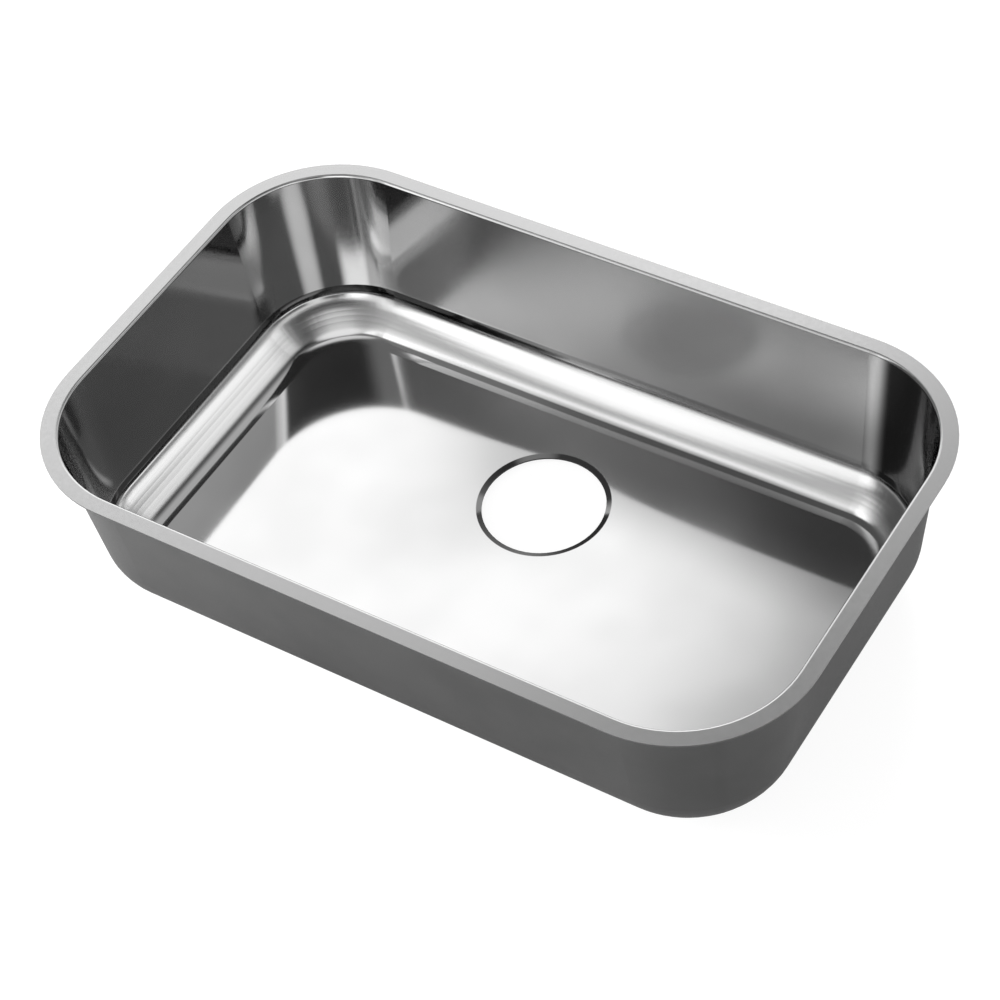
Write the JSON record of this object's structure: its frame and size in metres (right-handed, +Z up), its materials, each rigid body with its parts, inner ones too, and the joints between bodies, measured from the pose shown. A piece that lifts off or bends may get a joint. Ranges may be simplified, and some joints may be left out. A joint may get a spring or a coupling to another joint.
{
  "type": "undermount kitchen sink",
  "caption": "Single rectangular undermount sink bowl with rounded corners, flat flange, open drain near the back wall, undercoated outside and sound pads under the floor.",
  "frame": {"origin": "middle of the footprint in plan, at the lowest point of the sound pads", "axes": "+X along the long side, +Y towards the back wall that the drain lies near, +Z up out of the bowl"},
  "size_m": [0.585, 0.368, 0.1358],
  "materials": {
    "polished_steel": "polished inside, satin flange",
    "undercoat": "matt sprayed coat, fine grain",
    "sound_pad": "matt rubber"
  },
  "bodies": {
    "root": {"bowl": "polished_steel", "undercoat": "undercoat", "sound_pad_left": "sound_pad", "sound_pad_right": "sound_pad", "sound_pad_front": "sound_pad"}
  },
  "joints": []
}
